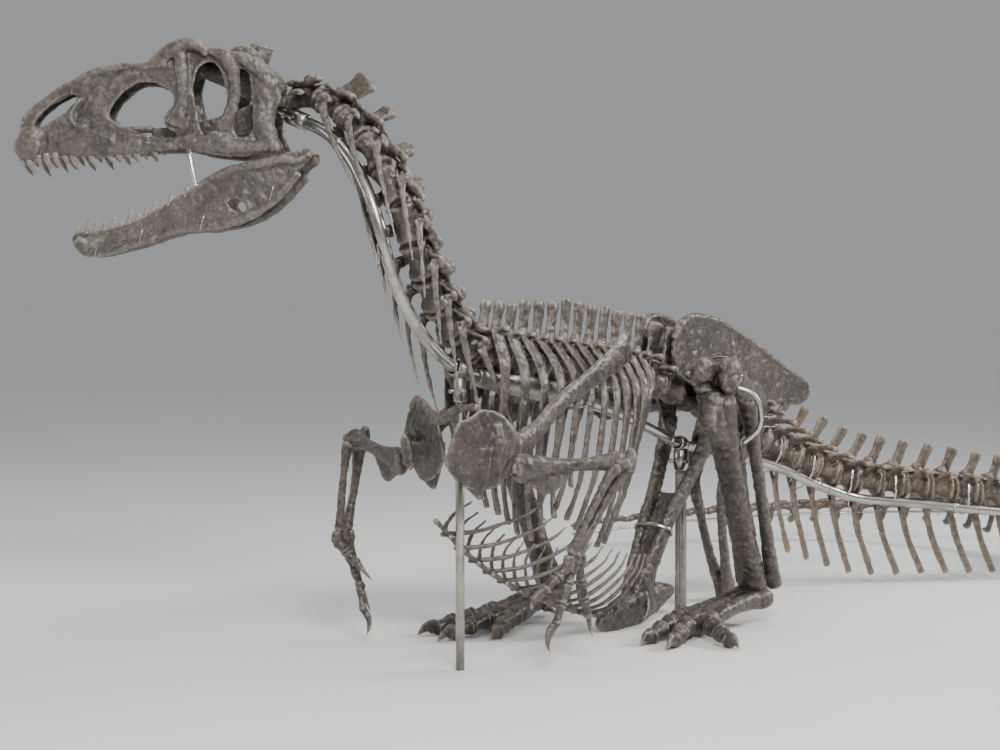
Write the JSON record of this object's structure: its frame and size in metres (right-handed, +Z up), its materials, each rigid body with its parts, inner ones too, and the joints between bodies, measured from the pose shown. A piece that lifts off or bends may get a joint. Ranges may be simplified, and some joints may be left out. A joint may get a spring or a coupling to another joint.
{
  "type": "mounted dinosaur skeleton",
  "caption": "Life-size skeleton of a crouching meat-eating dinosaur with open jaws, raised neck and curled tail, on a bent steel tube and upright posts.",
  "frame": {"origin": "on the floor, at the middle of the whole mount's box", "axes": "+Z up, -X the way the trunk faces, -Y the animal's left side"},
  "size_m": [3.6052, 1.6738, 1.544],
  "materials": {
    "bone_dark": "dark brown-grey fossil bone, waxed, with satin highlights",
    "bone_brown": "warmer brown fossil bone of the tail, waxed",
    "steel": "worn bare steel tube, rod and strap"
  },
  "bodies": {
    "root": {"femur_left": "bone_dark", "femur_right": "bone_dark", "fibula_left": "bone_dark", "fibula_right": "bone_dark", "foot_left": "bone_dark", "foot_right": "bone_dark", "furcula": "bone_dark", "gastralia": "bone_dark", "hand_left": "bone_dark", "hand_right": "bone_dark", "humerus_left": "bone_dark", "humerus_right": "bone_dark", "ilium_left": "bone_dark", "ilium_right": "bone_dark", "ischium": "bone_dark", "lower_jaw": "bone_dark", "neck_lower": "bone_dark", "neck_upper": "bone_dark", "pubis": "bone_dark", "radius_left": "bone_dark", "radius_right": "bone_dark", "sacrum": "bone_dark", "scapula_left": "bone_dark", "scapula_right": "bone_dark", "skull": "bone_dark", "stand_jaw_rod": "steel", "stand_post_front": "steel", "stand_post_rear": "steel", "stand_tube": "steel", "tail_1": "bone_brown", "tail_2": "bone_brown", "tail_3": "bone_brown", "tail_4": "bone_brown", "tail_5": "bone_brown", "tibia_left": "bone_dark", "tibia_right": "bone_dark", "trunk_left": "bone_dark", "trunk_right": "bone_dark", "ulna_left": "bone_dark", "ulna_right": "bone_dark"}
  },
  "joints": []
}
